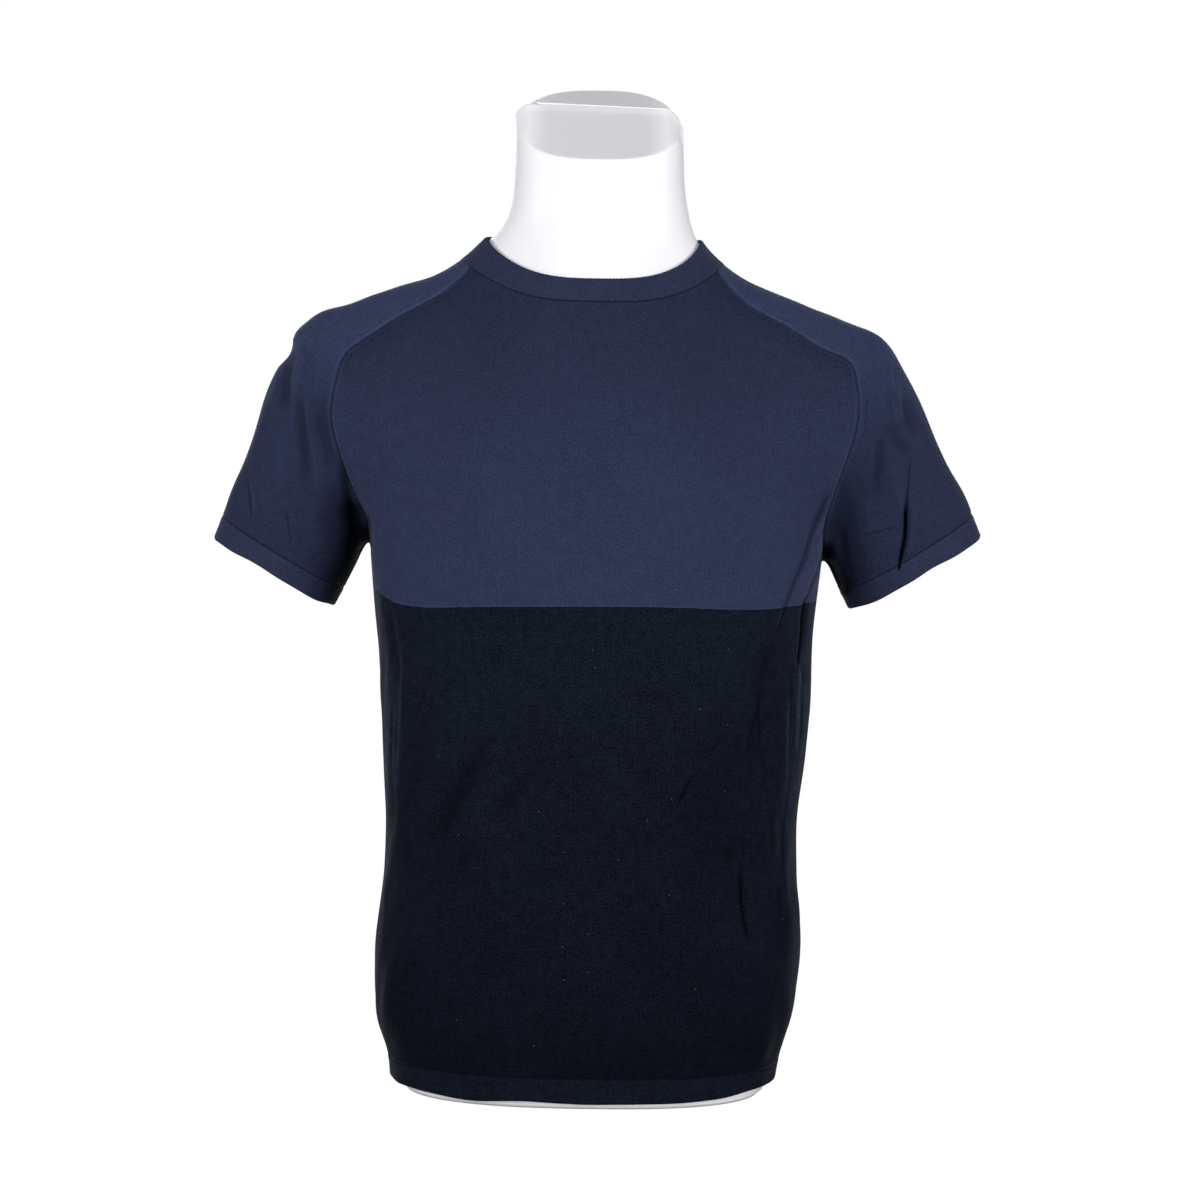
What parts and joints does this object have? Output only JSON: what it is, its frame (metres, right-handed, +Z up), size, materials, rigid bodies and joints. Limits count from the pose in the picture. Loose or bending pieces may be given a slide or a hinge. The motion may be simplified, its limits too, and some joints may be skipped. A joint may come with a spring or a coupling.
{
  "type": "short-sleeved sweater on a dress form",
  "caption": "Short-sleeved fine-knit crew-neck sweater with raglan sleeves and a darker lower body, worn by a white limbless dress form that stands on its flat base.",
  "frame": {"origin": "the middle of the dress form's flat base, on the surface it stands on", "axes": "+Z up, -Y is the sweater's front, +X the wearer's left"},
  "size_m": [0.5873, 0.2471, 0.766],
  "materials": {
    "body_knit": "fine matte jersey knit, navy above and near-black below the level colour change",
    "sleeve_knit": "fine matte jersey knit, navy",
    "rib_knit": "matte fine rib knit, navy",
    "dark_rib_knit": "matte fine rib knit, near-black",
    "white_plastic": "smooth white lacquer-like gloss"
  },
  "bodies": {
    "root": {"front": "body_knit", "back": "body_knit", "sleeve_right": "sleeve_knit", "sleeve_left": "sleeve_knit", "collar": "rib_knit", "cuff_right": "rib_knit", "cuff_left": "rib_knit", "hem_band": "dark_rib_knit", "dress_form": "white_plastic"}
  },
  "joints": []
}
